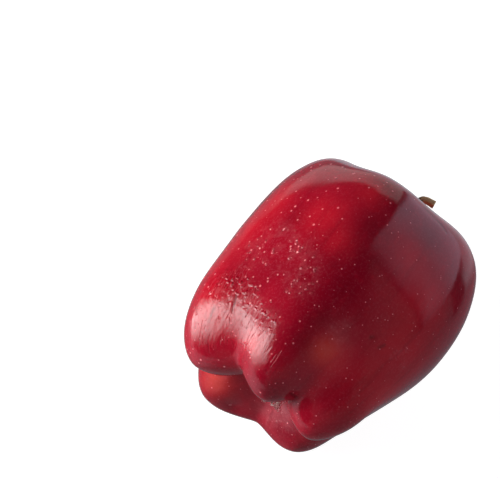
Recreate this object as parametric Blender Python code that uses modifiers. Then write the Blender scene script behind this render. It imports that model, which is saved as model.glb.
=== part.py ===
"""A ripe red apple, long and tapering with five ribs, lying on its side on a level surface.

Lengths below are in millimetres and angles in degrees. Meshes are made in metres.
The fruit has its own frame: the core runs along Z, with the stalk at the top and the
flower's basin at the bottom. The parts are made round that core, and the core is then laid down.
"""

import math
from collections import namedtuple

import bmesh
import bpy
from mathutils import Matrix, Vector

MM = 0.001

# Two half sections as (radius, height), each from the floor of the stalk's cavity, over the
# shoulder and down the cheek, round the foot and back up to the middle of the basin.
RIB_SECTION = (
    (0, 22), (4, 23.5), (10, 29.5), (17, 36), (25, 38.5), (33.5, 33.5), (38.5, 21), (39.5, 5),
    (37.5, -12), (34, -26), (29, -37), (22, -42.5), (14.5, -40.5), (8, -34.5), (3.5, -30.6), (0, -30),
)
FURROW_SECTION = (
    (0, 22), (4, 23), (10, 28.8), (17, 35), (25, 37), (33, 31.5), (37.5, 19), (38, 3),
    (35, -12), (30, -24), (24, -31.5), (18, -34.5), (12.5, -34.3), (7.5, -32.2), (3.5, -30.4), (0, -30),
)
LAST_PLACE = len(RIB_SECTION) - 1

# Places along a section, counted in its points, and how far round each the skin gives way.
CROWN_TOP = (4, 2)
CROWN_SIDE = (4.5, 1.6)
CHEEK = (7, 2)
FLANK = (9, 1.6)
FOOT_TIP = (11, 2)
FOOT_SIDE = (10.8, 1.8)

# No two ribs are alike. Each has its angle round the core, how far it swings sideways on its
# way to the foot, what it adds to the section, and how deep the furrow after it is (1 is full).
Rib = namedtuple("Rib", "angle swing crown_rise crown_reach cheek_reach flank_reach foot_drop foot_reach furrow")
RIBS = (
    Rib(-72, 0, 0.5, -1, -2, 3, 2, 2.5, 0.75),
    Rib(-17, 13, -1.5, 0.5, 0, 0.5, 2.2, 0, 0.8),
    Rib(50, 0, 0.5, 0, 1, -1.5, 1.2, 1, 0.9),
    Rib(122, 2, 0, 0, -0.5, -3, 0.2, -0.5, 0.5),
    Rib(213, 2, 0, 0, 0, 0, 0.9, 1, 1),
)
SWING_FROM, SWING_OVER = 8, 3.5
# A furrow is a soft valley down the cheek and closes to a crease under the foot.
CREASE_FROM, CREASE_OVER = 9, 3
CREASE_WIDTH = 0.015

SKIN_SEGMENTS, SKIN_RINGS = 80, 42

# How the fruit lies: this side of it is down, the stalk's end is raised by the lean because the
# fruit tapers, and its weight bears on a small flat spot that is pressed in at the lowest place.
SIDE_DOWN = 155
LEAN = 14.5
CORE_HEIGHT = 36.35

# The stalk: points along its middle, each with its radius there. It bends over to one side and
# flares where it broke off the spur. Its root is in a socket in the floor of the cavity.
STALK = (
    (0, 0, 19.6, 1.5), (0.2, -0.6, 25, 1.25), (0.5, -1.6, 32, 1.1), (0.6, -1.6, 39.5, 1.1),
    (0.6, 0, 45.5, 1.25), (0.8, 3.5, 48.6, 1.6), (1, 7.6, 49.5, 2.1),
)
STALK_STEPS = 3
SOCKET_GAP = 0.3
SOCKET_TOP = 25

# The calyx: a dry core in a socket in the floor of the basin, and five withered sepals round it.
# A sepal is a blade along a path of (radius, height), with its half width there.
CALYX_RADIUS, CALYX_HALF_HEIGHT, CALYX_MIDDLE = 2.8, 2.4, -31
CALYX_SOCKET_RADIUS, CALYX_SOCKET_DEPTH = 3.15, 1.9
SEPAL = (
    (2, -30.4, 1.7), (2.6, -32, 1.8), (2.5, -34, 1.5), (2.6, -35.8, 1.1), (3.6, -37.4, 0.7), (5, -38, 0.45),
)
SEPAL_COUNT = 5
SEPAL_TURN = 20
SEPAL_THICKNESS = 0.7
SEPAL_CURL = 0.35
SEPAL_SPREADS = (0.2, -0.3, 0.7, 0, -0.5)
SEPAL_TWISTS = (8, -12, 5, 14, -6)


def ease(part):
    """0 to 1 with a level start and end."""
    part = min(max(part, 0), 1)
    return part * part * (3 - 2 * part)


def smooth_through(points, place):
    """A smooth curve through a list of points, at a place counted in those points."""
    start = min(int(place), len(points) - 4)
    part = place - start
    a, b, c, d = (Vector(p) for p in points[start:start + 4])
    return 0.5 * (
        2 * b + (c - a) * part + (2 * a - 5 * b + 4 * c - d) * part**2 + (3 * b - a - 3 * c + d) * part**3
    )


def on_section(section, place):
    """The (radius, height) at a place along a section, which crosses the core level at both ends."""
    before = (-section[1][0], section[1][1])
    after = (-section[-2][0], section[-2][1])
    return smooth_through((before, *section, after), place)


def bump(place, where):
    at, spread = where
    return math.exp(-(((place - at) / spread) ** 2))


def rib_weight(turn, place):
    """1 on a rib and 0 in the furrow's bottom, for a turn of 0 to 1 from one rib to the next."""
    valley = 0.5 + 0.5 * math.cos(2 * math.pi * turn)
    crease = math.sqrt((math.cos(math.pi * turn) ** 2 + CREASE_WIDTH) / (1 + CREASE_WIDTH))
    creased = min(max((place - CREASE_FROM) / CREASE_OVER, 0), 1)
    return valley + (crease - valley) * creased


def skin_point(place, angle):
    """A point of the skin in the fruit's frame, at a place along the section and an angle round the core."""
    swung = ease((place - SWING_FROM) / SWING_OVER)
    angles = [rib.angle + swung * rib.swing for rib in RIBS]
    angles.append(angles[0] + 360)
    angle = (angle - angles[0]) % 360 + angles[0]
    left = max(i for i in range(len(RIBS)) if angle >= angles[i])
    right = (left + 1) % len(RIBS)
    turn = (angle - angles[left]) / (angles[left + 1] - angles[left])
    share = ease(turn)
    near = Rib(*(a + (b - a) * share for a, b in zip(RIBS[left], RIBS[right])))

    depth = RIBS[left].furrow * (1 - rib_weight(turn, place))
    rib, furrow = on_section(RIB_SECTION, place), on_section(FURROW_SECTION, place)
    radius, height = rib + (furrow - rib) * depth
    height += near.crown_rise * bump(place, CROWN_TOP) - near.foot_drop * bump(place, FOOT_TIP)
    radius += near.crown_reach * bump(place, CROWN_SIDE) + near.cheek_reach * bump(place, CHEEK)
    radius += near.flank_reach * bump(place, FLANK) + near.foot_reach * bump(place, FOOT_SIDE)
    around = math.radians(angle)
    return Vector((radius * math.cos(around), radius * math.sin(around), height))


def clear_scene():
    for obj in list(bpy.data.objects):
        bpy.data.objects.remove(obj, do_unlink=True)


def new_collection(name):
    collection = bpy.data.collections.new(name)
    bpy.context.scene.collection.children.link(collection)
    return collection


def new_material(name, colour, roughness):
    material = bpy.data.materials.new(name)
    material.use_nodes = True
    shader = material.node_tree.nodes["Principled BSDF"]
    shader.inputs["Base Color"].default_value = (*colour, 1)
    shader.inputs["Roughness"].default_value = roughness
    shader.inputs["Metallic"].default_value = 0
    return material


def new_object(name, data, collection, parent=None, material=None):
    obj = bpy.data.objects.new(name, data)
    collection.objects.link(obj)
    obj.parent = parent
    if material:
        data.materials.append(material)
    return obj


def mesh_from(name, shape):
    mesh = bpy.data.meshes.new(name)
    shape.to_mesh(mesh)
    shape.free()
    mesh.shade_smooth()
    return mesh


def lying_pose():
    """Turns the fruit's frame so that its down side faces the surface and its core leans up to the stalk."""
    return Matrix.Rotation(math.radians(90 - LEAN), 4, "Y") @ Matrix.Rotation(math.radians(-SIDE_DOWN), 4, "Z")


def make_core():
    """An empty at the middle of the core, which the stalk and the calyx hang on."""
    core = bpy.data.objects.new("core", None)
    bpy.context.scene.collection.objects.link(core)
    core.matrix_world = Matrix.Translation((0, 0, CORE_HEIGHT * MM)) @ lying_pose()
    return core


def make_fruit(collection, material):
    """A sphere drawn over the ribs and furrows, laid down and pressed flat where it meets the surface."""
    shape = bmesh.new()
    bmesh.ops.create_uvsphere(shape, u_segments=SKIN_SEGMENTS, v_segments=SKIN_RINGS, radius=1)
    laid = Matrix.Translation((0, 0, CORE_HEIGHT * MM)) @ lying_pose()
    for vertex in shape.verts:
        place = LAST_PLACE * vertex.co.angle(Vector((0, 0, 1))) / math.pi
        angle = math.degrees(math.atan2(vertex.co.y, vertex.co.x))
        vertex.co = laid @ (skin_point(place, angle) * MM)
    everything = [*shape.verts, *shape.edges, *shape.faces]
    cut = bmesh.ops.bisect_plane(
        shape, geom=everything, plane_co=(0, 0, 0), plane_no=(0, 0, -1), clear_outer=True
    )
    rim = [part for part in cut["geom_cut"] if isinstance(part, bmesh.types.BMEdge)]
    for vertex in {vertex for edge in rim for vertex in edge.verts}:
        vertex.co.z = 0
    bmesh.ops.contextual_create(shape, geom=rim)
    bmesh.ops.recalc_face_normals(shape, faces=shape.faces)
    return new_object("fruit", mesh_from("fruit", shape), collection, material=material)


def cut_socket(fruit, name, radius, bottom, top, core, cutters):
    """Cuts a round socket along the core, from the bottom height to the top one."""
    shape = bmesh.new()
    depth = (top - bottom) * MM
    bmesh.ops.create_cone(
        shape, cap_ends=True, segments=24, radius1=radius * MM, radius2=radius * MM, depth=depth
    )
    cutter = new_object(name, mesh_from(name, shape), cutters, parent=core)
    cutter.location.z = (top + bottom) / 2 * MM
    cutter.hide_render = True
    cutter.display_type = "WIRE"
    cut = fruit.modifiers.new(name, "BOOLEAN")
    cut.operation = "DIFFERENCE"
    cut.solver = "EXACT"
    cut.object = cutter


def make_stalk(collection, core, material):
    """A woody tube of changing thickness along a smooth line."""
    curve = bpy.data.curves.new("stalk", "CURVE")
    curve.dimensions = "3D"
    curve.bevel_depth = MM
    curve.bevel_resolution = 4
    curve.use_fill_caps = True
    count = (len(STALK) - 1) * STALK_STEPS + 1
    line = curve.splines.new("POLY")
    line.points.add(count - 1)
    first = 2 * Vector(STALK[0]) - Vector(STALK[1])
    last = 2 * Vector(STALK[-1]) - Vector(STALK[-2])
    for i, point in enumerate(line.points):
        x, y, z, radius = smooth_through((first, *STALK, last), i / STALK_STEPS)
        point.co = (x * MM, y * MM, z * MM, 1)
        point.radius = radius
    return new_object("stalk", curve, collection, parent=core, material=material)


def make_sepal(number, collection, core):
    """One withered blade: a sheet along its path, cupped across, and thickened."""
    shape = bmesh.new()
    across, along = 4, 10
    bmesh.ops.create_grid(shape, x_segments=across, y_segments=along, size=1)
    first = 2 * Vector(SEPAL[0]) - Vector(SEPAL[1])
    last = 2 * Vector(SEPAL[-1]) - Vector(SEPAL[-2])
    facing = Matrix.Rotation(math.radians(SEPAL_TURN + number * 360 / SEPAL_COUNT), 4, "Z")
    for vertex in shape.verts:
        side, reach = vertex.co.x, (vertex.co.y + 1) / 2
        radius, height, half_width = smooth_through((first, *SEPAL, last), reach * (len(SEPAL) - 1))
        radius += SEPAL_SPREADS[number] * reach**2 - SEPAL_CURL * half_width * side**2
        twist = math.radians(SEPAL_TWISTS[number]) * reach
        sideways = side * half_width
        point = Vector((radius + sideways * math.sin(twist), sideways * math.cos(twist), height))
        vertex.co = facing @ point * MM
    bmesh.ops.recalc_face_normals(shape, faces=shape.faces)
    sepal = new_object(f"sepal_{number}", mesh_from("sepal", shape), collection, parent=core)
    thicken = sepal.modifiers.new("thickness", "SOLIDIFY")
    thicken.thickness = SEPAL_THICKNESS * MM
    thicken.offset = 0
    return sepal


def make_calyx(collection, core, material):
    """The dry core of the flower with its sepals joined on."""
    shape = bmesh.new()
    bmesh.ops.create_uvsphere(shape, u_segments=20, v_segments=12, radius=CALYX_RADIUS * MM)
    stretch = CALYX_HALF_HEIGHT / CALYX_RADIUS
    for vertex in shape.verts:
        vertex.co.z = vertex.co.z * stretch + CALYX_MIDDLE * MM
    calyx = new_object("calyx", mesh_from("calyx", shape), collection, parent=core, material=material)
    sepals = new_collection("sepals")
    for number in range(SEPAL_COUNT):
        make_sepal(number, sepals, core)
    join = calyx.modifiers.new("sepals", "BOOLEAN")
    join.operation = "UNION"
    join.operand_type = "COLLECTION"
    join.collection = sepals
    join.solver = "EXACT"
    bpy.context.view_layer.update()
    joined = bpy.data.meshes.new_from_object(calyx.evaluated_get(bpy.context.evaluated_depsgraph_get()))
    calyx.modifiers.clear()
    calyx.data = joined
    for sepal in list(sepals.objects):
        bpy.data.objects.remove(sepal, do_unlink=True)
    bpy.data.collections.remove(sepals)
    return calyx


def centre_over_origin(parts, movers):
    """Slides the apple along the surface until the box round its parts is centred on the origin."""
    bpy.context.view_layer.update()
    graph = bpy.context.evaluated_depsgraph_get()
    corners = []
    for part in parts:
        evaluated = part.evaluated_get(graph)
        mesh = evaluated.to_mesh()
        corners += [evaluated.matrix_world @ vertex.co for vertex in mesh.vertices]
        evaluated.to_mesh_clear()
    for axis in (0, 1):
        values = [corner[axis] for corner in corners]
        middle = (min(values) + max(values)) / 2
        for mover in movers:
            mover.location[axis] -= middle


def main():
    clear_scene()
    apple = new_collection("apple")
    cutters = new_collection("cutters")
    skin = new_material("apple_skin", (0.36, 0.012, 0.02), 0.25)
    wood = new_material("stalk_wood", (0.13, 0.075, 0.035), 0.7)
    dry = new_material("dry_calyx", (0.22, 0.16, 0.1), 0.9)

    core = make_core()
    fruit = make_fruit(apple, skin)
    stalk = make_stalk(apple, core, wood)
    calyx = make_calyx(apple, core, dry)
    stalk_bottom, stalk_radius = STALK[0][2], STALK[0][3]
    cut_socket(
        fruit, "stalk_socket", stalk_radius + SOCKET_GAP, stalk_bottom - SOCKET_GAP, SOCKET_TOP, core, cutters
    )
    basin_floor = RIB_SECTION[-1][1]
    cut_socket(
        fruit, "calyx_socket", CALYX_SOCKET_RADIUS, basin_floor - CALYX_HALF_HEIGHT,
        basin_floor + CALYX_SOCKET_DEPTH, core, cutters,
    )
    centre_over_origin((fruit, stalk, calyx), (fruit, core))


main()
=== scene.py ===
# %% [markdown]
# A ripe red apple, seen close, in the finish of the real one
#
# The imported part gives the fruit, its stalk and its calyx at their real size, with plain faces.
# This lesson puts a fine surface over each of them: waxed skin with pores, wrinkles and ripening
# colours, bark on the stalk, and dry downy sepals. Read it from top to bottom: each step first says
# what the real thing is, then makes it, and prints what it made.

import math
import random
from collections import namedtuple

import bpy
import numpy as np
from mathutils import Matrix, Vector, noise


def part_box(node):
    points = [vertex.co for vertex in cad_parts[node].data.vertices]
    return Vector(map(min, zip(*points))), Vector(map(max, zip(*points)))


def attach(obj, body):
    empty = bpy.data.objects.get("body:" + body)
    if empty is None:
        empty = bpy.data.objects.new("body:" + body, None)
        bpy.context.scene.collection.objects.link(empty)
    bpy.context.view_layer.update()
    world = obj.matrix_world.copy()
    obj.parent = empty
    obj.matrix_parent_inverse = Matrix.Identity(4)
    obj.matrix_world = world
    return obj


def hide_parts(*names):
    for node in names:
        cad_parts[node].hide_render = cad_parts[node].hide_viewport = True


MM = 0.001

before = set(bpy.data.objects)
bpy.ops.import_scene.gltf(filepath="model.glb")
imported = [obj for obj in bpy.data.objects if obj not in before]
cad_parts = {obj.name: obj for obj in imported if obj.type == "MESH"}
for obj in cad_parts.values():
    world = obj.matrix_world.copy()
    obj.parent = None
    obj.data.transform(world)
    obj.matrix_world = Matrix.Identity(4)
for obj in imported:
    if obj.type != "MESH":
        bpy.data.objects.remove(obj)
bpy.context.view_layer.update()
print("nodes:", sorted(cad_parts))

# %% [markdown]
# A material is a tree of nodes, and trees of maths nodes are hard to read. So a small class stands
# for one output socket, and Python's own operators on it add the Math nodes. A second class stands
# for a finish that is being made, with one method that adds any other node.

# %% Sums on sockets
class Amount:
    """A number, colour or vector that changes over a surface: one output socket of a node."""

    def __init__(self, finish, socket):
        self.finish = finish
        self.socket = socket

    def math(self, operation, *values):
        return self.finish.node("ShaderNodeMath", {"operation": operation}, dict(enumerate(values)))

    def __add__(self, other):
        return self.math("ADD", self, other)

    def __radd__(self, other):
        return self.math("ADD", other, self)

    def __sub__(self, other):
        return self.math("SUBTRACT", self, other)

    def __rsub__(self, other):
        return self.math("SUBTRACT", other, self)

    def __mul__(self, other):
        return self.math("MULTIPLY", self, other)

    def __rmul__(self, other):
        return self.math("MULTIPLY", other, self)

    def __abs__(self):
        return self.math("ABSOLUTE", self)

    def rise(self, start, end):
        """0 below the start and 1 above the end, with a soft step between; down, if the start is higher."""
        settings = {"interpolation_type": "SMOOTHSTEP"}
        if start < end:
            return self.finish.node("ShaderNodeMapRange", settings, {0: self, 1: start, 2: end})
        return 1 - self.rise(end, start)


# %% A finish under construction
class Finish:
    """One material, with its node tree and its main shader."""

    def __init__(self, name):
        self.material = bpy.data.materials.new(name)
        self.material.use_nodes = True
        self.tree = self.material.node_tree
        self.shader = self.tree.nodes["Principled BSDF"]

    def node(self, kind, settings=None, sockets=None, output=0):
        """Adds a node: its settings first, then the values or links of its sockets."""
        made = self.tree.nodes.new(kind)
        for name, value in (settings or {}).items():
            setattr(made, name, value)
        for key, value in (sockets or {}).items():
            self.give(made.inputs[key], value)
        return Amount(self, made.outputs[output])

    def give(self, socket, value):
        if isinstance(value, Amount):
            self.tree.links.new(value.socket, socket)
        else:
            socket.default_value = value

    def set(self, **sockets):
        """Sets the main shader's sockets, named as in Blender with _ for a space."""
        for name, value in sockets.items():
            self.give(self.shader.inputs[name.replace("_", " ")], value)

    def attribute(self, name, output=2):
        """A number stored on the mesh; output 1 reads a stored vector."""
        return self.node("ShaderNodeAttribute", {"attribute_name": name}, output=output)

    def mix(self, part, first, second):
        """A colour between two colours; a part of 0 is the first."""
        sockets = {0: part, 6: colour(first), 7: colour(second)}
        return self.node("ShaderNodeMix", {"data_type": "RGBA"}, sockets, output=2)

    def split(self, vector):
        """The x and the y of a vector."""
        x = self.node("ShaderNodeSeparateXYZ", None, {0: vector})
        return x, Amount(self, x.socket.node.outputs[1])

    def stretch(self, vector, x, y, z):
        """A vector whose three parts are each made longer or shorter."""
        return self.node("ShaderNodeVectorMath", {"operation": "MULTIPLY"}, {0: vector, 1: (x, y, z)})

    def clouds(self, vector, size, detail=2.0, roughness=0.5):
        """Soft noise from 0 to 1, whose blots are about a size apart in the vector's own unit."""
        sockets = {"Vector": vector, "Scale": 1 / size, "Detail": detail, "Roughness": roughness}
        return self.node("ShaderNodeTexNoise", None, sockets)

    def spots(self, vector, size):
        """The distance to the nearest of many scattered points, in the vector's own unit, and its chance."""
        distance = self.node("ShaderNodeTexVoronoi", None, {"Vector": vector, "Scale": 1 / size})
        drawn = Amount(self, distance.socket.node.outputs["Color"])
        chance = self.node("ShaderNodeSeparateColor", None, {0: drawn})
        return distance * size, chance

    def bump(self, height):
        """Turns a height in millimetres into a normal."""
        return self.node("ShaderNodeBump", None, {"Strength": 1.0, "Distance": MM, "Height": height})


def colour(value):
    """What a colour socket takes: a link as it is, or three numbers and full cover."""
    return value if isinstance(value, Amount) else (*value, 1.0)


# %% [markdown]
# The fruit is drawn in its own frame first: the core runs along Z, with the stalk at the top. Two
# half sections, one over a rib and one down a furrow, are blended round the core by five uneven
# ribs. This is the same rule as the part's own, so the fine skin lies on the solid's faces. Lengths
# are in millimetres and angles in degrees.

# %% Sections and ribs
RIB_SECTION = (
    (0, 22), (4, 23.5), (10, 29.5), (17, 36), (25, 38.5), (33.5, 33.5), (38.5, 21), (39.5, 5),
    (37.5, -12), (34, -26), (29, -37), (22, -42.5), (14.5, -40.5), (8, -34.5), (3.5, -30.6), (0, -30),
)
FURROW_SECTION = (
    (0, 22), (4, 23), (10, 28.8), (17, 35), (25, 37), (33, 31.5), (37.5, 19), (38, 3),
    (35, -12), (30, -24), (24, -31.5), (18, -34.5), (12.5, -34.3), (7.5, -32.2), (3.5, -30.4), (0, -30),
)
LAST_PLACE = len(RIB_SECTION) - 1

Rib = namedtuple(
    "Rib", "angle swing crown_rise crown_reach cheek_reach flank_reach foot_drop foot_reach furrow"
)
# Each rib has an angle and a swing towards the foot, then what it adds at the crown, cheek, flank and
# foot, and last how deep the furrow after it is.
RIBS = np.array((
    Rib(-72, 0, 0.5, -1, -2, 3, 2, 2.5, 0.75),
    Rib(-17, 13, -1.5, 0.5, 0, 0.5, 2.2, 0, 0.8),
    Rib(50, 0, 0.5, 0, 1, -1.5, 1.2, 1, 0.9),
    Rib(122, 2, 0, 0, -0.5, -3, 0.2, -0.5, 0.5),
    Rib(213, 2, 0, 0, 0, 0, 0.9, 1, 1),
))
# Where along the section these additions are greatest, and how far they spread.
CROWN_TOP, CROWN_SIDE, CHEEK, FLANK = (4, 2), (4.5, 1.6), (7, 2), (9, 1.6)
FOOT_TIP, FOOT_SIDE = (11, 2), (10.8, 1.8)
SWING_FROM, SWING_OVER = 8, 3.5
CREASE_FROM, CREASE_OVER, CREASE_WIDTH = 9, 3, 0.015
print(len(RIBS), "ribs at", RIBS[:, 0], "degrees round the core")


def ease(part):
    part = np.clip(part, 0, 1)
    return part * part * (3 - 2 * part)


def smooth_through(points, place):
    """A smooth curve through a list of points, at an array of places counted in those points."""
    points = np.asarray(points, float)
    before, after = 2 * points[0] - points[1], 2 * points[-1] - points[-2]
    points = np.vstack((before, points, after))
    start = np.clip(place.astype(int), 0, len(points) - 4)
    part = (place - start)[..., None]
    a, b, c, d = (points[start + i] for i in range(4))
    return 0.5 * (
        2 * b + (c - a) * part + (2 * a - 5 * b + 4 * c - d) * part**2 + (3 * b - a - 3 * c + d) * part**3
    )


def on_section(section, place):
    """The (radius, height) at places along a section, which crosses the core level at both ends."""
    section = np.asarray(section, float)
    before, after = section[1] * (-1, 1), section[-2] * (-1, 1)
    return smooth_through(np.vstack((before, section, after)), place + 1)


def bump_at(place, where):
    return np.exp(-(((place - where[0]) / where[1]) ** 2))


def skin_points(place, angle):
    """Points of the skin at places along the section and angles round the core."""
    swung = ease((place - SWING_FROM) / SWING_OVER)
    angles = RIBS[:, 0] + swung[..., None] * RIBS[:, 1]
    angle = (angle - angles[..., 0]) % 360 + angles[..., 0]
    left = (angle[..., None] >= angles).sum(-1) - 1
    right = (left + 1) % len(RIBS)
    start = np.take_along_axis(angles, left[..., None], -1)[..., 0]
    end = np.take_along_axis(angles, right[..., None], -1)[..., 0] + 360 * (right == 0)
    turn = (angle - start) / (end - start)
    share = ease(turn)[..., None]
    between = RIBS[left] + (RIBS[right] - RIBS[left]) * share
    _, _, crown_rise, crown_reach, cheek, flank, foot_drop, foot_reach, _ = np.moveaxis(between, -1, 0)

    valley = 0.5 + 0.5 * np.cos(2 * np.pi * turn)
    crease = np.sqrt((np.cos(np.pi * turn) ** 2 + CREASE_WIDTH) / (1 + CREASE_WIDTH))
    weight = valley + (crease - valley) * np.clip((place - CREASE_FROM) / CREASE_OVER, 0, 1)
    depth = RIBS[left][..., -1] * (1 - weight)
    rib, furrow = on_section(RIB_SECTION, place), on_section(FURROW_SECTION, place)
    radius, height = np.moveaxis(rib + (furrow - rib) * depth[..., None], -1, 0)
    height = height + crown_rise * bump_at(place, CROWN_TOP) - foot_drop * bump_at(place, FOOT_TIP)
    radius = radius + crown_reach * bump_at(place, CROWN_SIDE) + cheek * bump_at(place, CHEEK)
    radius = radius + flank * bump_at(place, FLANK) + foot_reach * bump_at(place, FOOT_SIDE)
    around = np.radians(angle)
    return np.stack((radius * np.cos(around), radius * np.sin(around), height), -1)


# %% How the fruit lies
SIDE_DOWN, LEAN, CORE_HEIGHT = 155, 14.5, 36.35
LYING = np.array(
    Matrix.Rotation(math.radians(90 - LEAN), 3, "Y") @ Matrix.Rotation(math.radians(-SIDE_DOWN), 3, "Z")
)
print("the core leans up", LEAN, "degrees and is", CORE_HEIGHT, "mm above the ground")


def laid(points):
    """Points of the fruit's frame where the fruit lies, over the row frame's origin, in millimetres."""
    return points @ LYING.T + (0, 0, CORE_HEIGHT)


# %% [markdown]
# The skin is one grid of rings round the core, closed by a point at each end. The rings are spread
# evenly along the section's length, so the small relief that comes next is as fine everywhere.

# %% The fine grid
SEGMENTS, RINGS, MEASURING_STEPS = 440, 218, 4000

dense = np.linspace(0, LAST_PLACE, MEASURING_STEPS)
section = on_section(RIB_SECTION, dense)
section_length = np.concatenate(([0], np.cumsum(np.linalg.norm(np.diff(section, axis=0), axis=1))))
ring_length = np.linspace(0, section_length[-1], RINGS + 2)
ring_place = np.interp(ring_length, section_length, dense)
place, angle = np.meshgrid(ring_place, np.arange(SEGMENTS) * 360 / SEGMENTS, indexing="ij")
along = np.repeat(ring_length[:, None], SEGMENTS, axis=1)
grid = skin_points(place, angle)
print("section is", round(section_length[-1], 1), "mm long, rings every", round(ring_length[1], 2), "mm")

plain = laid(grid.reshape(-1, 3))
plain[:, 2] = np.maximum(plain[:, 2], 0)
low, high = (np.array(corner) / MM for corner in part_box("fruit"))
SHIFT = (low + high) / 2 - (plain.min(0) + plain.max(0)) / 2
SHIFT[2] = 0
print("slides by", SHIFT.round(3), "mm to lie on its solid")


def placed(points):
    """Points of the fruit's frame in the row frame, in metres."""
    return (laid(points) + SHIFT) * MM


# %% [markdown]
# A real apple is never as smooth as its formula. Its cheeks have broad shallow dents, and where the
# skin has lost water it wrinkles along the core, turns leathery and stands up in pimples. Its red is
# uneven too. All these areas could be painted by hand on a texture. Here each is a union of soft balls
# round listed points, because that needs no picture and is easily moved. A ball whose middle
# lies off the skin makes a fainter area.

# %% Areas of the skin
def near(points, centre, reach):
    """1 at a point of the fruit's frame and 0 well beyond the reach."""
    return np.exp(-((np.linalg.norm(points - np.array(centre), axis=-1) / reach) ** 2))


def any_of(points, balls):
    """The union of several soft balls, each a centre and a reach."""
    left = 1.0
    for centre, reach in balls:
        left = left * (1 - near(points, centre, reach))
    return 1 - left


# Each area is a list of balls: a middle in the fruit's frame, and a reach.
SHRIVELLED = (((14, -27, -37), 9), ((19, -30, -25), 9), ((23, -22, -27), 8), ((29, -12, -32), 9))
LEATHERY = (
    ((19.5, -31, -21.5), 4), ((22, -28, -20.5), 5), ((23.5, -24.5, -22), 4), ((26.5, -20, -24.5), 3),
    ((29.5, -15.5, -26), 2.6), ((31.5, -12, -27.5), 2.4),
)
PIMPLED = (
    ((31, -21, -4.4), 8), ((35, -15, -7), 6), ((26, -27, -3), 8), ((35, -12, -13), 5), ((27, 26, -10), 5),
    ((34, 5.5, -16.5), 4), ((20, -32.5, -9), 4.5), ((22.5, -29.5, -14), 3.5),
    ((-11, 5.5, -38), 4.5), ((-6, 9.5, -37), 3.5),
)
# Brighter red skin. The balls on the lobes under the key's highlight, and on the left side that the key
# lights, are painted light.
SCARLET_AND_KEY_LIT = (
    ((14, -36, -2), 10), ((17, -34, 10), 8), ((8, -38, -16), 10), ((33, -19, 10), 8), ((21, 27, -20), 11),
    ((32, 22, 8), 9), ((26, 24, -5), 10), ((34, -11, 24), 5), ((17, -29, -29), 9), ((27, -13, -34), 4),
    ((40, -11.5, 4.5), 5), ((41, 11, 15.5), 6), ((0, 20, -41), 4), ((31.6, 7, -24), 6),
)
# Painted sheen: pale pink where the bright ground is seen in the wax, near the basin and low at the right.
PINK_SHEEN = (((-11, 4.3, -37.5), 4), ((-4, 7.5, -35), 3.5), ((38, 9, -21), 7.5))
FLUSHED = (((-9.5, -15.5, -39), 5.5), ((33, 6.5, -24.5), 4), ((-30, 18, 10), 20))
# Deeper red skin, and painted shade: along a dark band down the side where no light is mirrored, and in the
# basin.
DUSKY_AND_SHADE = (
    ((36, -8, 27), 6), ((38.8, -4.4, 14.5), 7), ((39, -1.4, 4.6), 7), ((37.8, -0.9, -6.6), 7),
    ((35.5, -1.3, -18), 6), ((33, 0, -25), 5), ((-3, 14, -39), 8), ((-8, 10, -39), 4), ((24.5, -2.5, -43), 6),
    ((27.5, 27, 22), 6), ((27, 30, 12), 6), ((28, 28, 3), 6), ((36, -2, 27), 6), ((28, -25, 7), 5),
    ((37, 11, 26), 8),
)
AREAS = {
    "shrivelled": SHRIVELLED, "leathery": LEATHERY, "pimpled": PIMPLED, "scarlet_and_key_lit": SCARLET_AND_KEY_LIT, "pink_sheen": PINK_SHEEN,
    "flushed": FLUSHED, "dusky_and_shade": DUSKY_AND_SHADE,
}
areas = {name: any_of(grid, balls) for name, balls in AREAS.items()}
print("share of the points in each area:", {name: round(area.mean(), 3) for name, area in areas.items()})

# %% Swellings and creases
# Broad swellings and dents: a middle, how far it reaches, and how far it stands out.
SWELLINGS = (
    ((16.5, -32, -22.5), 10, 0.8), ((30, -17.5, -19.5), 10, -0.65), ((17.5, -26.5, -37), 10, -0.65),
    ((37, 11, 16), 12, -0.4), ((34.5, 17.5, 7.5), 12, -0.3), ((-12.5, 2.5, -38.5), 5, -1.1),
    ((-15.3, -4.5, -41), 3.5, -1), ((18.2, 25.5, -32), 7, 1.1),
)

# Fine creases: where each starts and ends, its half width and its depth.
CREASES = [
    ((18.4, -29, -29.8), (16.9, -27.9, -34.1), 0.4, 0.14),
    ((22.4, -25.8, -23.8), (21.6, -23.9, -28.4), 0.4, 0.14),
    ((31.9, 4.3, 33.1), (30.7, 11.3, 32.6), 0.4, 0.1), ((30.7, 11.3, 32.6), (30.5, 14.3, 31.7), 0.5, 0.3),
    ((23.1, 5.2, -38.7), (20.2, 7.5, -37.6), 0.5, 0.15), ((32.6, 14.4, -12), (33.2, 16, -11), 0.5, 0.1),
    ((31, 19.3, -10.8), (30.9, 18.3, -12.4), 0.5, 0.1),
]
# A low ridge runs from the sepals over these points. It is a crease that stands out.
BASIN_RIDGE = (
    (-7.7, 3.9, -34.9), (-9.4, 5, -36.8), (-10.6, 5.3, -37.9), (-12.5, 5.9, -39.3), (-13.6, 6.7, -40),
)
RIDGE_HALF_WIDTH, RIDGE_DEPTH = 0.6, -0.2
CREASES += [(start, end, RIDGE_HALF_WIDTH, RIDGE_DEPTH) for start, end in zip(BASIN_RIDGE, BASIN_RIDGE[1:])]
print(len(SWELLINGS), "swellings and dents,", len(CREASES), "creases and pieces of ridge")


def crease_at(points, start, end, half_width):
    """1 along the line from the start to the end and 0 beside it."""
    start, line = np.array(start), np.subtract(end, start)
    share = np.clip((points - start) @ line / (line @ line), 0, 1)
    away = np.linalg.norm(points - start - share[..., None] * line, axis=-1)
    return np.exp(-((away / half_width) ** 2))


# %% [markdown]
# The relief of a living thing is uneven at every size. Carving it by hand would take days. Soft noise
# of a few sizes does the same: broad waves all over, wrinkles and lumps in their own areas only, and
# flutes down into the stalk's cavity and the basin. It moves each point along the skin's normal.

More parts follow.
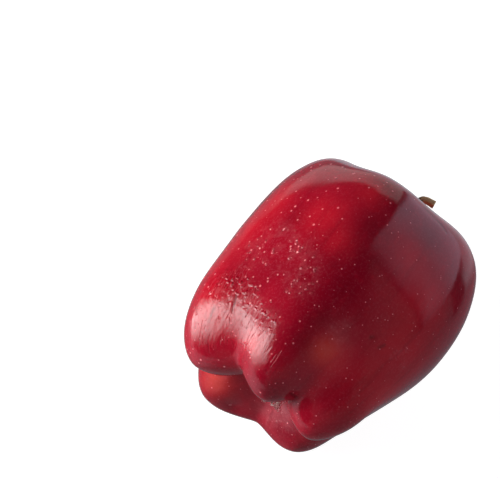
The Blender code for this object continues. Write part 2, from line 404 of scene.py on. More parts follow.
# %% Relief of the skin
# Each wave has a height, a length or a length for each axis, and a seed.
BROAD_WAVE, CHEEK_WAVE = (0.3, 26, 0), (0.08, 9, 7)
WRINKLE, SOFT_LUMP, LEATHER_LUMP = (0.06, (2.2, 2.2, 9), 3), (0.05, 5, 11), (0.07, 2, 13)
FLUTE = (0.1, (3.5, 3.5, 30), 5)
GRAIN_RADIUS = 38
CAVITY_END, CAVITY_OVER, BASIN_FROM, BASIN_OVER = 2.6, 1.8, 12, 2


def noise_at(points, size, seed=0.0):
    """Soft noise from -1 to 1 at points, with waves of about the size; or a size for each axis."""
    scaled = points.reshape(-1, 3) / np.array(size) + seed
    return np.array([noise.noise(Vector(p)) for p in scaled]).reshape(points.shape[:-1])


def wave(points, shape):
    """Noise of a named shape, in millimetres."""
    height, size, seed = shape
    return height * noise_at(points, size, seed)


around = np.radians(angle)
grain = np.stack((GRAIN_RADIUS * np.cos(around), GRAIN_RADIUS * np.sin(around), along), -1)
cavity = ease((CAVITY_END - place) / CAVITY_OVER)
basin = ease((place - BASIN_FROM) / BASIN_OVER)

relief = wave(grid, BROAD_WAVE) + wave(grid, CHEEK_WAVE)
relief += areas["shrivelled"] * wave(grain, WRINKLE)
relief += (areas["shrivelled"] + areas["leathery"]) * wave(grid, SOFT_LUMP)
relief += areas["leathery"] * wave(grid, LEATHER_LUMP)
relief += sum(height * near(grid, centre, reach) for centre, reach, height in SWELLINGS)
relief += (cavity + basin) * wave(grain, FLUTE)
creased = np.zeros(place.shape)
for start, end, half_width, crease_depth in CREASES:
    crease = crease_at(grid, start, end, half_width)
    relief -= crease_depth * crease
    creased = np.maximum(creased, crease * (crease_depth > 0))

to_next_ring = np.roll(grid, -1, 0) - np.roll(grid, 1, 0)
to_next_point = np.roll(grid, -1, 1) - np.roll(grid, 1, 1)
to_next_ring[0], to_next_ring[-1] = to_next_ring[1], to_next_ring[-2]
normal = np.cross(to_next_ring, to_next_point)
normal /= np.maximum(np.linalg.norm(normal, axis=-1, keepdims=True), 1e-9)
normal[0], normal[-1] = (0, 0, 1), (0, 0, -1)
formed = grid + normal * relief[..., None]
formed[0], formed[-1] = grid[0], grid[-1]
print("relief from", relief.min().round(2), "to", relief.max().round(2), "mm")


# %% Meshes with values stored on their points
def store(mesh, name, values):
    """Stores a number or a vector for each point, for the finish to read."""
    values = np.asarray(values, np.float32)
    kind, key = ("FLOAT_VECTOR", "vector") if values.ndim == 2 else ("FLOAT", "value")
    mesh.attributes.new(name, kind, "POINT").data.foreach_set(key, values.ravel())


def show(name, mesh, finish, node=None):
    """Makes a piece of a mesh. It rides on the part's one body, and may stand for one of its nodes."""
    piece = bpy.data.objects.new(name, mesh)
    bpy.context.scene.collection.objects.link(piece)
    mesh.materials.append(finish.material)
    mesh.shade_smooth()
    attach(piece, "root")
    if node:
        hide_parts(node)
    print(name, "has", len(mesh.polygons), "faces and a finish of", len(finish.tree.nodes), "nodes")


def grid_faces(rings, sides):
    """Faces of a closed tube of rings, from the first to the last, turned outwards."""
    row, column = np.meshgrid(np.arange(rings - 1), np.arange(sides), indexing="ij")
    beside = (column + 1) % sides
    this_ring, next_ring = row * sides, (row + 1) * sides
    corners = (this_ring + column, next_ring + column, next_ring + beside, this_ring + beside)
    return np.stack(corners, -1).reshape(-1, 4)


def closed_mesh(name, bodies):
    """A mesh from bodies. Each is an array of rings of points, closed by a first and a last point."""
    points, faces, used = [], [], 0
    for rings, first, last in bodies:
        count, sides, _ = rings.shape
        points.append(np.vstack((rings.reshape(-1, 3), first, last)))
        top, bottom, start = used + count * sides, used + count * sides + 1, used + (count - 1) * sides
        faces += [tuple(face) for face in grid_faces(count, sides) + used]
        faces += [(top, used + i, used + (i + 1) % sides) for i in range(sides)]
        faces += [(bottom, start + (i + 1) % sides, start + i) for i in range(sides)]
        used += len(points[-1])
    mesh = bpy.data.meshes.new(name)
    mesh.from_pydata(np.vstack(points).tolist(), [], faces)
    return mesh


def with_ends(values):
    """Values of the grid in the order of the closed mesh's points: its rings, then its two ends."""
    flat = values[1:-1].reshape((-1, *values.shape[2:]))
    return np.concatenate((flat, values[:1, 0], values[-1:, 0]))


# %% The skin's mesh
points = placed(formed.reshape(-1, 3)).reshape(formed.shape)
points[..., 2] = np.maximum(points[..., 2], 0)
skin_mesh = closed_mesh("apple_skin", [(points[1:-1], points[0, 0], points[-1, 0])])
skin_values = {"core_point": grid, "grain": grain, "place": place, "creased": creased, **areas}
for name, values in skin_values.items():
    store(skin_mesh, name, with_ends(values))
print("the skin's points store", ", ".join(skin_values))

# %% [markdown]
# Apple skin is a thin red layer over paler flesh, under its own wax. The red is deeper in some areas
# and in streaks from stalk to basin, brighter in others, and orange where it is flushed. Part of the
# deeper red is painted shade, along a dark band down the side and in the basin, and part of the
# brighter red is painted light, where the key falls. Pale pink mottling near the basin and low at the
# right is a painted sheen, and creases are painted darker, as shade. The red goes to yellow-green in
# the stalk's cavity, and pores show as pale dots. Pale specks, and a pink haze on pimpled patches, are
# painted glints. The areas are on the mesh's points already. What is finer is mixed here, so it stays
# sharp seen close.

# %% The skin's colours
CRIMSON, DEEP, BRIGHT = (0.43, 0.004, 0.022), (0.25, 0.0018, 0.014), (0.68, 0.011, 0.028)
ORANGE_RED, CHARTREUSE, AMBER = (0.72, 0.042, 0.024), (0.42, 0.36, 0.07), (0.5, 0.2, 0.05)
# The dark red paints shade in the creases, the pink paints a sheen, and the pale of the pores also paints
# glints.
PORE_AND_GLINT, CREASE_SHADE, SHEEN_PINK = (1.0, 0.24, 0.28), (0.1, 0.002, 0.006), (0.5, 0.28, 0.3)
STREAK_SIZE, BLOT_SIZE, MOTTLE_SIZE = 3.2, 14, 2.4

skin = Finish("waxed_apple_skin")
spot = skin.attribute("core_point", output=1)
spot_x, spot_y = skin.split(spot)
lengthwise = skin.attribute("grain", output=1)
place_down = skin.attribute("place")


def drawn_out(share):
    """The place on the skin with its length along the core cut to a share, which draws noise out."""
    return skin.stretch(lengthwise, 1, 1, share)


streaks = skin.clouds(drawn_out(0.12), STREAK_SIZE, 4.0, 0.6)
blots = skin.clouds(spot, BLOT_SIZE, 3.0)
mottle = skin.clouds(spot, MOTTLE_SIZE, 3.0, 0.6)
red = skin.mix(blots.rise(0.4, 0.65) * 0.4, CRIMSON, DEEP)
# Deeper red: partly the skin's own colour, partly painted shade.
red = skin.mix(skin.attribute("dusky_and_shade"), red, DEEP)
# Brighter red: partly the skin's own colour, partly painted light where the key falls.
red = skin.mix(skin.attribute("scarlet_and_key_lit") * 0.9, red, BRIGHT)
red = skin.mix(skin.attribute("flushed") * blots.rise(0.2, 0.45) * 0.85, red, ORANGE_RED)
red = skin.mix(streaks.rise(0.48, 0.7) * (0.28 - 0.2 * place_down.rise(10, 12)), red, DEEP)
red = skin.mix(mottle.rise(0.5, 0.75) * 0.2, red, BRIGHT)
# Painted sheen: pale pink mottling.
red = skin.mix(skin.attribute("pink_sheen") * mottle * 0.3, red, SHEEN_PINK)
# Painted shade: the creases are darkened.
creased_here = skin.attribute("creased")
red = skin.mix(creased_here * 0.7, red, CREASE_SHADE)
print("the reds take", len(skin.tree.nodes), "nodes")

# %% The colours of the stalk's cavity
STREAK_REACH = 2.4

unripe = place_down + (streaks - 0.5) * STREAK_REACH
red = skin.mix(unripe.rise(2.9, 1.7) * 0.85, red, ORANGE_RED)
red = skin.mix(unripe.rise(2.0, 1.1) * 0.9, red, AMBER)
red = skin.mix(unripe.rise(1.3, 0.4), red, CHARTREUSE)
print("the reds and the cavity take", len(skin.tree.nodes), "nodes")

# %% Pores and pimples
PORE_SPACING, PIMPLE_SPACING, PATCH_SIZE, GLINT_FLECK_SIZE = 1.95, 1.6, 3.5, 0.75

pimpled_here, leathery_here = skin.attribute("pimpled"), skin.attribute("leathery")
pore_distance, chance = skin.spots(spot, PORE_SPACING)
thick_with_pores = spot_y.rise(10, -22) * (0.3 + 0.7 * spot_x.rise(-10, 12))
pores = (pore_distance - chance * (0.14 + 0.15 * thick_with_pores)).rise(0.17, 0.03)
pimple_distance, pimple_chance = skin.spots(spot, PIMPLE_SPACING)
patches = skin.clouds(spot, PATCH_SIZE, 1.0).rise(0.4, 0.6)
pimples = (pimple_distance - pimple_chance * 0.3).rise(0.45, 0.02) * pimpled_here.rise(0.25, 0.8) * patches
# Painted sheen: a pale pink haze over the pimpled patches, for their soft glints.
pimple_sheen = patches * pimpled_here.rise(0.2, 0.9)
# Painted glints: pale specks that stand for the tiny highlights of the skin's fine bumps.
glint_flecks = skin.clouds(spot, GLINT_FLECK_SIZE, 3.0, 0.75).rise(0.45, 0.75) * (0.08 + 0.05 * pimpled_here)
red = skin.mix(glint_flecks, red, PORE_AND_GLINT)
pale = pores * (0.3 + 0.65 * chance) * (1 - 0.6 * leathery_here)
# Pale pores and pimples, with the painted sheen of the pimpled patches.
skin.set(Base_Color=skin.mix(pale + pimples * 0.12 + pimple_sheen * 0.06, red, PORE_AND_GLINT))
print("with pores and pimples:", len(skin.tree.nodes), "nodes")

# %% [markdown]
# Wax makes the skin glossy, and its highlights show each unevenness: they tell smooth skin from
# shrivelled or leathery skin. Waves of 2 mm and more are in the mesh. The finer ripples and cracks of
# the shrivelled areas, the lumps of the leathery ones, the pores and the pimples are bump. The gloss
# is the base layer's own, because a coat over it would need a normal of its own.

# %% The skin's fine relief
RIPPLE_SIZE, RIPPLE_HEIGHT, CRACK_SPACING, CRACK_DEPTH = 0.9, 0.095, 2.6, 0.1
LUMP_SPACING, LUMP_HEIGHT, WARP_SIZE, WARP_REACH = 1.7, 0.2, 1.5, 1.3
PORE_HEIGHT, PIMPLE_HEIGHT, MOTTLE_HEIGHT, PIMPLED_MOTTLE_HEIGHT = 0.05, 0.16, 0.03, 0.1

shrivelled_here = skin.attribute("shrivelled")
ripples = skin.clouds(drawn_out(0.35), RIPPLE_SIZE, 2.0)
cracks = abs(skin.clouds(drawn_out(0.2), CRACK_SPACING, 1.0) - 0.5).rise(0.03, 0.0)
crack_share = skin.clouds(lengthwise, 5).rise(0.5, 0.6)
warp_sockets = {"Vector": spot, "Scale": 1 / WARP_SIZE, "Detail": 1.0}
warp = skin.node("ShaderNodeTexNoise", None, warp_sockets, output=1)
warp = skin.stretch(warp, WARP_REACH, WARP_REACH, WARP_REACH)
warped = skin.node("ShaderNodeVectorMath", {"operation": "ADD"}, {0: spot, 1: warp})
lump_distance, lump_chance = skin.spots(warped, LUMP_SPACING)
lumps = lump_distance.rise(0.85, 0.05) * (0.5 + 0.5 * lump_chance)
fine_relief = (ripples * RIPPLE_HEIGHT - cracks * crack_share * CRACK_DEPTH) * shrivelled_here
fine_relief = fine_relief + lumps * LUMP_HEIGHT * leathery_here + pores * PORE_HEIGHT
fine_relief = fine_relief + pimples * PIMPLE_HEIGHT
fine_relief = fine_relief + mottle * (MOTTLE_HEIGHT + PIMPLED_MOTTLE_HEIGHT * pimpled_here)
print("with the fine relief:", len(skin.tree.nodes), "nodes")

# %% The skin's gloss
WAXED, DULL_SIZE = 0.11, 0.65

dull = skin.clouds(drawn_out(0.3), DULL_SIZE, 2.0).rise(0.46, 0.58)
rough = WAXED + 0.2 * dull * shrivelled_here + 0.07 * leathery_here + 0.12 * pimpled_here
rough = rough + 0.15 * creased_here
skin.set(Roughness=rough, Specular_IOR_Level=0.55, IOR=1.45, Normal=skin.bump(fine_relief))
show("apple_skin", skin_mesh, skin, "fruit")

# %% [markdown]
# The stalk is a woody tube that bends over to one side. It grew ridges along its length and small
# warts, and it flares where it tore off the spur: the torn end is a hollow with a pale ragged rim of
# bark, and its bottom is painted dark, as shade. A tube of rings along its line takes all of that.

# %% The stalk's line
# The x, y and z of points on the line, and the radius there.
STALK = (
    (0, 0, 19.6, 1.5), (0.2, -0.6, 25, 1.25), (0.5, -1.4, 32, 1.1), (0.6, -1.2, 39.5, 1.05),
    (0.8, 2.2, 44.6, 1), (0.9, 3.9, 48, 1.1), (1, 7.5, 48.8, 1.3),
)
STALK_SIDES, STALK_RINGS = 64, 170


def full_turn(sides):
    """The angles of so many points, spread evenly round a circle."""
    return np.linspace(0, 2 * np.pi, sides, endpoint=False)


def tube_rings(line, radii, sides):
    """Rings of points round a line and square to it, carried along without a twist."""
    direction = np.gradient(line, axis=0)
    direction /= np.linalg.norm(direction, axis=1, keepdims=True)
    side = np.cross(direction[0], (0.3, 1, 0.2))
    turns = full_turn(sides)
    rings = []
    for middle, facing, radius in zip(line, direction, radii):
        side = side - facing * (side @ facing)
        side /= np.linalg.norm(side)
        across = np.outer(np.cos(turns), side) + np.outer(np.sin(turns), np.cross(facing, side))
        rings.append(middle + across * np.reshape(radius, (-1, 1)))
    return np.array(rings)


stalk_place = np.linspace(0, len(STALK) - 1, STALK_RINGS)
stalk_line = smooth_through(STALK, stalk_place)
print("the stalk's line reaches", stalk_line[-1, :3], "in the fruit's frame")

# %% The stalk's bark
BARK_WART, BARK_GRIT = (0.07, 1.1, 0), (0.05, 0.4, 4)

turns = full_turn(STALK_SIDES)
ridges = 0.05 * np.sin(5 * turns + 0.6) + 0.03 * np.sin(11 * turns + 2)
bark = np.stack(np.broadcast_arrays(np.cos(turns) * 2, np.sin(turns) * 2, stalk_place[:, None] * 3), -1)
radii = stalk_line[:, 3:] * (1 + ridges + wave(bark, BARK_WART) + wave(bark, BARK_GRIT))
stalk_rings = tube_rings(stalk_line[:, :3], radii, STALK_SIDES)
print("the bark's radius goes from", radii.min().round(2), "to", radii.max().round(2), "mm")

# %% The stalk's torn end
# Past the end of its line the tube turns inwards: each step is a share of the radius and a depth.
TORN_END = ((0.97, -0.25), (0.86, -0.1), (0.74, 0.25), (0.58, 0.5), (0.42, 0.45), (0.3, 0.2), (0.15, 0.25))
RAGGED_RIM, RIM_SHARE, PITH_DEPTH = (0.35, 0.5, 9), 0.7, 0.2
END_STEP = 0.1

outward = stalk_line[-1, :3] - stalk_line[-2, :3]
outward /= np.linalg.norm(outward)
tip = stalk_line[-1, :3]
ragged = wave(np.stack((np.cos(turns), np.sin(turns), turns * 0), -1), RAGGED_RIM)
end_rings = [
    tip + (stalk_rings[-1] - tip) * share - np.outer(depth - ragged * (share > RIM_SHARE), outward)
    for share, depth in TORN_END
]
stalk_rings = np.concatenate((stalk_rings, end_rings))
stalk_body = (placed(stalk_rings[::-1]), placed(tip - outward * PITH_DEPTH), placed(stalk_line[0, :3]))
stalk_mesh = closed_mesh("apple_stalk", [stalk_body])
stalk_reach = np.concatenate((stalk_place, len(STALK) + np.arange(len(TORN_END)) * END_STEP))
along_stalk = np.repeat(stalk_reach[::-1], STALK_SIDES)
store(stalk_mesh, "along", np.append(along_stalk, (stalk_reach[-1], 0)))
bark_points = np.concatenate((bark, np.repeat(bark[-1:], len(TORN_END), axis=0)))[::-1].reshape(-1, 3)
store(stalk_mesh, "bark_point", np.vstack((bark_points, bark[-1, 0], bark[0, 0])))
print("the stalk has", len(stalk_rings), "rings,", len(end_rings), "of them in its torn end")

# %% The stalk's finish
BARK, OLD_BARK_AND_SHADE, GREEN_BARK = (0.36, 0.18, 0.075), (0.07, 0.03, 0.014), (0.2, 0.19, 0.05)
TORN_WOOD = (0.75, 0.5, 0.24)
FIBRE_SIZE, FIBRE_HEIGHT, BARK_PATCH_SIZE, BARK_PATCH_HEIGHT = 0.5, 0.12, 1.6, 0.08

wood = Finish("stalk_bark")
bark_spot = wood.attribute("bark_point", output=1)
along_bark = wood.attribute("along")
fibres = wood.clouds(wood.stretch(bark_spot, 1, 1, 0.15), FIBRE_SIZE, 4.0, 0.65)
bark_patches = wood.clouds(bark_spot, BARK_PATCH_SIZE, 3.0)
bark_tone = wood.mix(fibres.rise(0.35, 0.65), OLD_BARK_AND_SHADE, BARK)
bark_tone = wood.mix(along_bark.rise(3.4, 1.0) * bark_patches.rise(0.35, 0.6), bark_tone, GREEN_BARK)
torn = (along_bark + bark_patches * 2 + fibres).rise(5.7, 6.6)
bark_tone = wood.mix(torn * 0.9, bark_tone, TORN_WOOD)
# Painted shade: the bottom of the torn end's hollow is darkened.
bark_tone = wood.mix(along_bark.rise(7.25, 7.45), bark_tone, OLD_BARK_AND_SHADE)
bark_relief = fibres * FIBRE_HEIGHT + bark_patches * BARK_PATCH_HEIGHT
wood.set(Base_Color=bark_tone, Roughness=0.75, Normal=wood.bump(bark_relief))
show("apple_stalk", stalk_mesh, wood, "stalk")

# %% [markdown]
# The calyx is what is left of the flower: a dry core in the basin's floor, five withered sepals
# that lean together over it, and thread-like stamens between them. Grey down covers the sepals. The
# sepals follow the same paths as in the solid, but thinner, with curled edges and veins.

# %% The sepals
CALYX_RADIUS, CALYX_HALF_HEIGHT, CALYX_MIDDLE = 2.8, 2.4, -31
# The radius and height of points on a sepal's path, and the half width there.
SEPAL = (
    (2, -30.4, 1.7), (2.6, -32, 1.8), (2.5, -34, 1.5), (2.6, -35.8, 1.1), (3.6, -37.4, 0.7), (5, -38, 0.45),
)
SEPAL_COUNT, SEPAL_TURN, SEPAL_CURL = 5, 20, 0.35
SEPAL_SPREADS = (0.2, -0.3, 0.7, -1.2, -2)
SEPAL_TWISTS = (8, -12, 5, 14, -6)
SEPAL_REACHES = (0.92, 0.86, 0.78, 0.78, 0.86)
SEPAL_STEPS, SEPAL_SIDES, SEPAL_THICKNESS, VEIN_HEIGHT = 40, 24, 0.32, 0.06
SEPAL_EDGE, SEPAL_FACE = (0.25, 1.3, 0), (0.2, 1.1, 3)


def sepal_rings(number):
    """Rings of thin lens-like sections along a sepal's path."""
    reach = np.linspace(0, SEPAL_REACHES[number], SEPAL_STEPS)[:, None]
    turns = full_turn(SEPAL_SIDES)
    side, face = np.cos(turns), np.sin(turns)
    radius, height, half_width = smooth_through(SEPAL, reach[:, 0] * (len(SEPAL) - 1)).T[..., None]
    crimp = np.stack(np.broadcast_arrays(side * 2, reach * 9, np.full_like(reach * side, number * 7.0)), -1)
    tapered = 1 - 0.75 * (reach / SEPAL_REACHES[number]) ** 6
    half_width = half_width * (1 + wave(crimp, SEPAL_EDGE)) * tapered
    radius = radius + SEPAL_SPREADS[number] * reach**2 - SEPAL_CURL * half_width * side**2
    radius = radius + SEPAL_THICKNESS / 2 * face + VEIN_HEIGHT * np.cos(7 * side) + wave(crimp, SEPAL_FACE)
    twist = np.radians(SEPAL_TWISTS[number]) * reach
    across = side * half_width
    points = np.stack((radius + across * np.sin(twist), across * np.cos(twist), height + 0 * side), -1)
    facing = math.radians(SEPAL_TURN + number * 360 / SEPAL_COUNT)
    return points @ np.array(Matrix.Rotation(facing, 3, "Z")).T


def tube_body(line, radii, sides):
    """A tube round a line, as closed_mesh takes it."""
    rings = tube_rings(line, radii, sides)
    return placed(rings[::-1]), placed(line[-1]), placed(line[0])


sepals = [sepal_rings(number) for number in range(SEPAL_COUNT)]
calyx_bodies = [(placed(rings), placed(rings[0].mean(0)), placed(rings[-1].mean(0))) for rings in sepals]
print(len(sepals), "sepals of", SEPAL_STEPS, "rings")

# %% The dry core
CORE_RINGS, CORE_SIDES, CORE_ROUGH = 24, 40, (0.12, 0.8, 0)

core_turns = np.linspace(0, np.pi, CORE_RINGS)
core_heights = CALYX_MIDDLE + CALYX_HALF_HEIGHT * np.cos(core_turns)
core_line = np.stack((0 * core_turns, 0 * core_turns, core_heights), -1)
turns = full_turn(CORE_SIDES)
circle = np.stack((np.cos(turns), np.sin(turns), 0 * turns), -1)
core_rings = []
for point, turned in list(zip(core_line, core_turns))[1:-1]:
    ring = circle * CALYX_RADIUS * math.sin(turned) + point
    core_rings.append(ring + ring * (1, 1, 0) * wave(ring, CORE_ROUGH)[:, None])
calyx_bodies.append((placed(np.array(core_rings)), placed(core_line[0]), placed(core_line[-1])))
print("the core has", len(core_rings), "rings")

# %% The stamens
STAMENS, STAMEN_LENGTHS, STAMEN_TOP = 16, (2.2, 4.2), -32.8
STAMEN_RADIUS, STAMEN_HEAD = 0.11, 0.1

draw = random.Random(5)
for number in range(STAMENS):
    out = 2 * np.pi * (number + draw.random()) / STAMENS
    lean = np.array((math.cos(out), math.sin(out), 0))
    length = draw.uniform(*STAMEN_LENGTHS)
    steps = np.linspace(0, 1, 9)[:, None]
    bend = np.array((draw.uniform(-1, 1), draw.uniform(-1, 1), 0))
    line = lean * (0.9 + 0.6 * steps) + (0, 0, STAMEN_TOP) - (0, 0, length) * steps + bend * steps**2
    calyx_bodies.append(tube_body(line, STAMEN_RADIUS + STAMEN_HEAD * (steps > 0.93), 6))
calyx_mesh = closed_mesh("calyx_sepals", calyx_bodies)

# %% [markdown]
# Down is thousands of fine hairs. A hair system could grow them, but the part's model is plain meshes,
# so each hair is a thin bent tube of two rings and a point. Most stand on the sepals and on the basin's
# floor round them. A tuft of coarser ones stands on the basin's lower wall, which the camera sees.

# %% The down on the sepals
DOWN_ON_SEPAL, DOWN_ON_FLOOR, ONE_IN_TUFT = 420, 1300, 7
TUFT_ANGLE, TUFT_SPREAD, TUFT_RADII, FLOOR_RADII = 143, 8, (6, 9.7), (2.9, 7.5)
SEPAL_HAIR_LENGTHS, FLOOR_HAIR_LENGTHS = (0.3, 0.9), (0.3, 0.8)
SEPAL_HAIR_RADIUS, FLOOR_HAIR_RADIUS, HAIR_TIP, HAIR_ROOT = 0.035, 0.03, 0.01, 0.15


def hair(root, direction, length, thickness):
    """One tapering hair, bent at its middle."""
    direction = direction / np.linalg.norm(direction)
    stray = np.array([draw.uniform(-0.35, 0.35) for _ in range(3)])
    middle = root + direction * length * 0.5
    end = middle + (direction + stray) * length * 0.5
    line = np.array((root - direction * HAIR_ROOT, middle, end))
    rings = tube_rings(line, (thickness, thickness * 0.7, HAIR_TIP), 3)
    return placed(rings[1::-1]), placed(end), placed(root - direction * 0.2)


hairs = []
for rings in sepals:
    middle = rings.mean(1)
    for _ in range(DOWN_ON_SEPAL):
        step, side = draw.randrange(2, SEPAL_STEPS - 1), draw.randrange(SEPAL_SIDES)
        root = rings[step, side]
        outward = root - middle[step] + 0.5 * root * (1, 1, 0) / np.linalg.norm(root[:2])
        length = draw.uniform(*SEPAL_HAIR_LENGTHS)
        hairs.append(hair(root, outward + (0, 0, -0.5), length, SEPAL_HAIR_RADIUS))
minus_radii = -np.array(RIB_SECTION)[-4:, 0]
for number in range(DOWN_ON_FLOOR):
    out, radius, coarse = draw.uniform(0, 360), draw.uniform(*FLOOR_RADII), 1
    if number % ONE_IN_TUFT == 0:
        out, radius, coarse = draw.gauss(TUFT_ANGLE, TUFT_SPREAD), draw.uniform(*TUFT_RADII), 2.3
    floor_place = np.interp(-radius, minus_radii, np.arange(LAST_PLACE - 3, LAST_PLACE + 1))
    root = skin_points(np.array(floor_place), np.array(out))
    lean = np.array((-root[0] * 0.06, -root[1] * 0.06, -1)) + [draw.uniform(-0.5, 0.5) for _ in range(3)]
    length = draw.uniform(*FLOOR_HAIR_LENGTHS) * (1.4 - radius / 10) * coarse
    hairs.append(hair(root, lean, length, FLOOR_HAIR_RADIUS * coarse))
down_mesh = closed_mesh("calyx_down", hairs)
print(len(hairs), "hairs")

# %% The calyx's finish
DRY, DRY_EDGE, DOWN = (0.17, 0.09, 0.045), (0.05, 0.022, 0.014), (1.0, 0.86, 0.82)
DRY_SIZE, DRY_HEIGHT, MATT = 0.7, 0.1, 0.9

dry = Finish("dry_sepals")
dry_spot = dry.node("ShaderNodeTexCoord", output=3)
dry_tone = dry.clouds(dry_spot, DRY_SIZE * MM, 4.0, 0.65).rise(0.35, 0.65)
dry.set(Base_Color=dry.mix(dry_tone, DRY_EDGE, DRY), Roughness=MATT, Specular_IOR_Level=0.2)
dry.set(Normal=dry.bump(dry_tone * DRY_HEIGHT))
pale_down = Finish("grey_down")
pale_down.set(Base_Color=(*DOWN, 1), Roughness=MATT)
show("calyx_sepals", calyx_mesh, dry, "calyx")
show("calyx_down", down_mesh, pale_down)

# %% [markdown]
# The picture is taken from the foot's side, a little more than half way up, from nearly a metre away
# with a long lens. The camera is placed from the middle of the core, which lies to the right of the
# picture's middle and below it. The lens follows from the fruit's scale in the picture.

# %% Camera
PHOTO_WIDTH = 500
PIXELS_PER_MM, CAMERA_DISTANCE = 3.16, 900
CORE_RIGHT_OF_MIDDLE, CORE_BELOW_MIDDLE = 25.3, 21.2
AZIMUTH, ELEVATION, ROLL = -53.9, 47.6, -0.3
SENSOR_WIDTH = 36

camera_data = bpy.data.cameras.new("camera")
camera = bpy.data.objects.new("camera", camera_data)
bpy.context.scene.collection.objects.link(camera)
turn = (
    Matrix.Rotation(math.radians(AZIMUTH), 4, "Z") @ Matrix.Rotation(math.radians(90 - ELEVATION), 4, "X")
    @ Matrix.Rotation(math.radians(ROLL), 4, "Z")
)
core_middle = Vector(placed(np.zeros(3)))
offset = Vector((-CORE_RIGHT_OF_MIDDLE, CORE_BELOW_MIDDLE, CAMERA_DISTANCE)) * MM
camera.matrix_world = Matrix.Translation(core_middle + turn.to_3x3() @ offset) @ turn
camera_data.sensor_width = SENSOR_WIDTH
camera_data.lens = PIXELS_PER_MM * CAMERA_DISTANCE / PHOTO_WIDTH * SENSOR_WIDTH
camera_data.clip_start, camera_data.clip_end = 0.05, 20
bpy.context.scene.camera = camera
print("lens", round(camera_data.lens, 1), "mm")

# %% [markdown]
# The key is a softbox a metre long at the upper left. Three big dim cards of white paper bring back
# some light: a cool fill from the right, a back card from above and behind, and a front card from
# the camera's side. The wax mirrors their shapes, which have one crisp edge and fade away
# from it, so each has its own fade. A weak lamp stands for the light of the room, and the wax doesn't
# mirror it. Between them the studio is dark, which keeps the red deep. An evenly bright sky would be
# simpler, but it would put grey over all the red.

# %% Glowing cards
WHITE, BLACK = (1, 1, 1), (0, 0, 0)


def rectangle(left, bottom, right, top):
    return ((left, bottom), (right, bottom), (right, top), (left, top))


def card(name, corners, glow, tint, fade, shade=0):
    """A glowing flat card, hidden from the camera. Its fade gives the share of the glow from x and y."""
    mesh = bpy.data.meshes.new(name)
    mesh.from_pydata([(x, y, 0) for x, y in corners], [], [range(len(corners))])
    paper = Finish(name + "_paper")
    share = fade(*paper.split(paper.node("ShaderNodeTexCoord", output=3)))
    paper.set(Base_Color=(shade, shade, shade, 1), Specular_IOR_Level=0, Emission_Strength=glow)
    paper.set(Emission_Color=paper.mix(share, BLACK, tint))
    mesh.materials.append(paper.material)
    made = bpy.data.objects.new(name, mesh)
    bpy.context.scene.collection.objects.link(made)
    made.visible_camera = False
    return made


def facing_fruit(made, direction, distance, turned):
    """Turns a card to the fruit. Its direction is along the camera's right, up and back."""
    facing = Vector(direction).normalized()
    up = (Vector((0, 1, 0)) - facing * facing.y).normalized()
    axes = Matrix((up.cross(facing), up, facing)).transposed()
    axes = turn.to_3x3() @ Matrix.Rotation(math.radians(turned), 3, facing) @ axes
    made.matrix_world = Matrix.Translation(core_middle + axes.col[2] * distance) @ axes.to_4x4()


# %% The key and the cards
KEY_GLOW, FILL_GLOW, BACK_GLOW, FRONT_GLOW, FILL_TINT = 9.6, 1.15, 0.9, 0.175, (0.91, 0.95, 1.18)


def key_fade(x, y):
    return abs(x).rise(0.5, 0.38) * y.rise(0.115, 0.055) * y.rise(-0.32, 0.05)


def fill_fade(x, y):
    across = x.rise(-0.62, -0.42) * (0.5 + 0.5 * x.rise(-0.4, 0.05))
    return across * y.rise(-0.5, -0.05) * (y + x * 0.74).rise(0.44, 0.36)


def back_fade(x, y):
    return x.rise(0.9, 0.5) * y.rise(0.38, 0.31) * (y - x * 0.9).rise(0.85, 0.65)


def front_fade(x, y):
    return 1 - x.rise(0.12, -0.05) * y.rise(-0.08, 0.15)


key = card("key_softbox", rectangle(-0.5, -0.36, 0.5, 0.11), KEY_GLOW, WHITE, key_fade)
facing_fruit(key, (-0.93, 0.285, 0.225), 0.6, 3.5)
fill_corners = ((-0.62, -0.6), (1.42, -0.6), (-0.62, 0.91))
fill = card("fill_card", fill_corners, FILL_GLOW, FILL_TINT, fill_fade)
facing_fruit(fill, (0.93, 0.355, -0.105), 0.6, 31.5)
back = card("back_card", rectangle(-1.3, -0.6, 0.9, 0.38), BACK_GLOW, WHITE, back_fade)
facing_fruit(back, (0.23, 0.85, -0.47), 0.8, -16)
front = card("front_card", rectangle(-1.4, -1.8, 1.8, 1.2), FRONT_GLOW, WHITE, front_fade)
facing_fruit(front, (0.48, -0.48, 0.72), 0.8, 0)
print("cards:", [made.name for made in (key, fill, back, front)])

# %% The lamp and the dark studio
LAMP_SIZE, LAMP_WATTS, STUDIO_GLOW = 0.5, 0.2, 0.02

lamp_data = bpy.data.lights.new("room_light", "AREA")
lamp_data.size, lamp_data.energy = LAMP_SIZE, LAMP_WATTS
lamp = bpy.data.objects.new("room_light", lamp_data)
bpy.context.scene.collection.objects.link(lamp)
lamp.visible_glossy = False
facing_fruit(lamp, (0.35, -0.5, 0.8), 0.55, 0)

world = bpy.data.worlds.new("studio")
world.use_nodes = True
background = world.node_tree.nodes["Background"]
background.inputs["Color"].default_value = (*WHITE, 1)
background.inputs["Strength"].default_value = STUDIO_GLOW
bpy.context.scene.world = world
bpy.context.scene.view_settings.view_transform = "Standard"
print("a lamp of", LAMP_WATTS, "watts in a studio that glows by", STUDIO_GLOW)
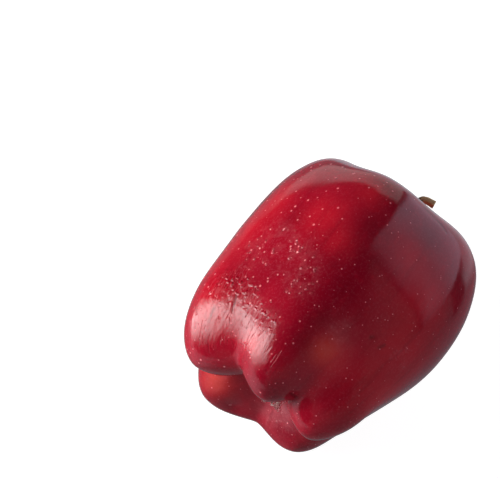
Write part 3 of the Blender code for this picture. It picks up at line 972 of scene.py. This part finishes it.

# %% [markdown]
# The ground is white paper, lit so brightly that the picture shows it plain white, with no shadow. One
# sheet can't be as white as that and also dim enough in the wax. So the camera sees one sheet, plain
# white all over, and the wax sees another just below it. That one is grey, and glows with painted pools
# of light: at the left for the key, in a patch near the foot, and at the right for the fill. A painted
# shadow, a dark wedge in it where little light would come, shows in the wax as a dark oval. Four walls
# as white as the ground stand round it for low views.

# %% The ground's painted light and shadow
def squared_distance(x, y, to_x, to_y):
    across, along = x - to_x, y - to_y
    return across * across + along * along


# Painted light: pools of light and a dark wedge of shadow, drawn as the reflected sheet's glow.
def painted_ground_light(x, y):
    by_key = squared_distance(x, y, -0.42, 0.32).rise(0.18, 0.1)
    by_foot = squared_distance(x, y, -0.115, 0.055).rise(0.004, 0.001)
    by_fill = x.rise(0.08, 0.13) * (y + x * 0.45).rise(-0.1, -0.05) * (y - x * 0.3).rise(0.12, 0.05)
    shadow = (y + x * 0.93).rise(0.012, -0.006) * (y + x * 1.75).rise(0.0, 0.02) * y.rise(-0.08, -0.1)
    return 0.58 * by_key + 0.45 * by_foot + (0.15 + 0.5 * by_fill) * (1 - shadow)


# %% Ground and walls
SHEET = rectangle(-3, -3, 3, 3)
PAPER_GLOW, SEEN_SHADE, REFLECTED_TINT, REFLECTED_SHADE = 0.95, 0.3, (0.93, 0.94, 1.07), 0.12
WALLS, WALL_DISTANCE, REFLECTED_BELOW = 4, 2.95, 0.0003


def plain_white(name, shade=0):
    """A card of plain white paper that only the camera sees."""
    made = card(name, SHEET, PAPER_GLOW, WHITE, lambda x, y: 1, shade)
    made.visible_camera = True
    made.visible_glossy = made.visible_diffuse = made.visible_shadow = False
    return made


plain_white("ground_seen", SEEN_SHADE)
for number in range(WALLS):
    wall = plain_white(f"backdrop_{number}")
    wall.matrix_world = (
        Matrix.Rotation(math.radians(90 * number), 4, "Z") @ Matrix.Translation((0, WALL_DISTANCE, 0))
        @ Matrix.Rotation(math.radians(90), 4, "X")
    )
reflected = card("ground_reflected", SHEET, 1, REFLECTED_TINT, painted_ground_light, REFLECTED_SHADE)
reflected.location.z = -REFLECTED_BELOW
print("the reflected sheet takes", len(reflected.data.materials[0].node_tree.nodes), "nodes")

# %% Last update of the scene
bpy.context.view_layer.update()
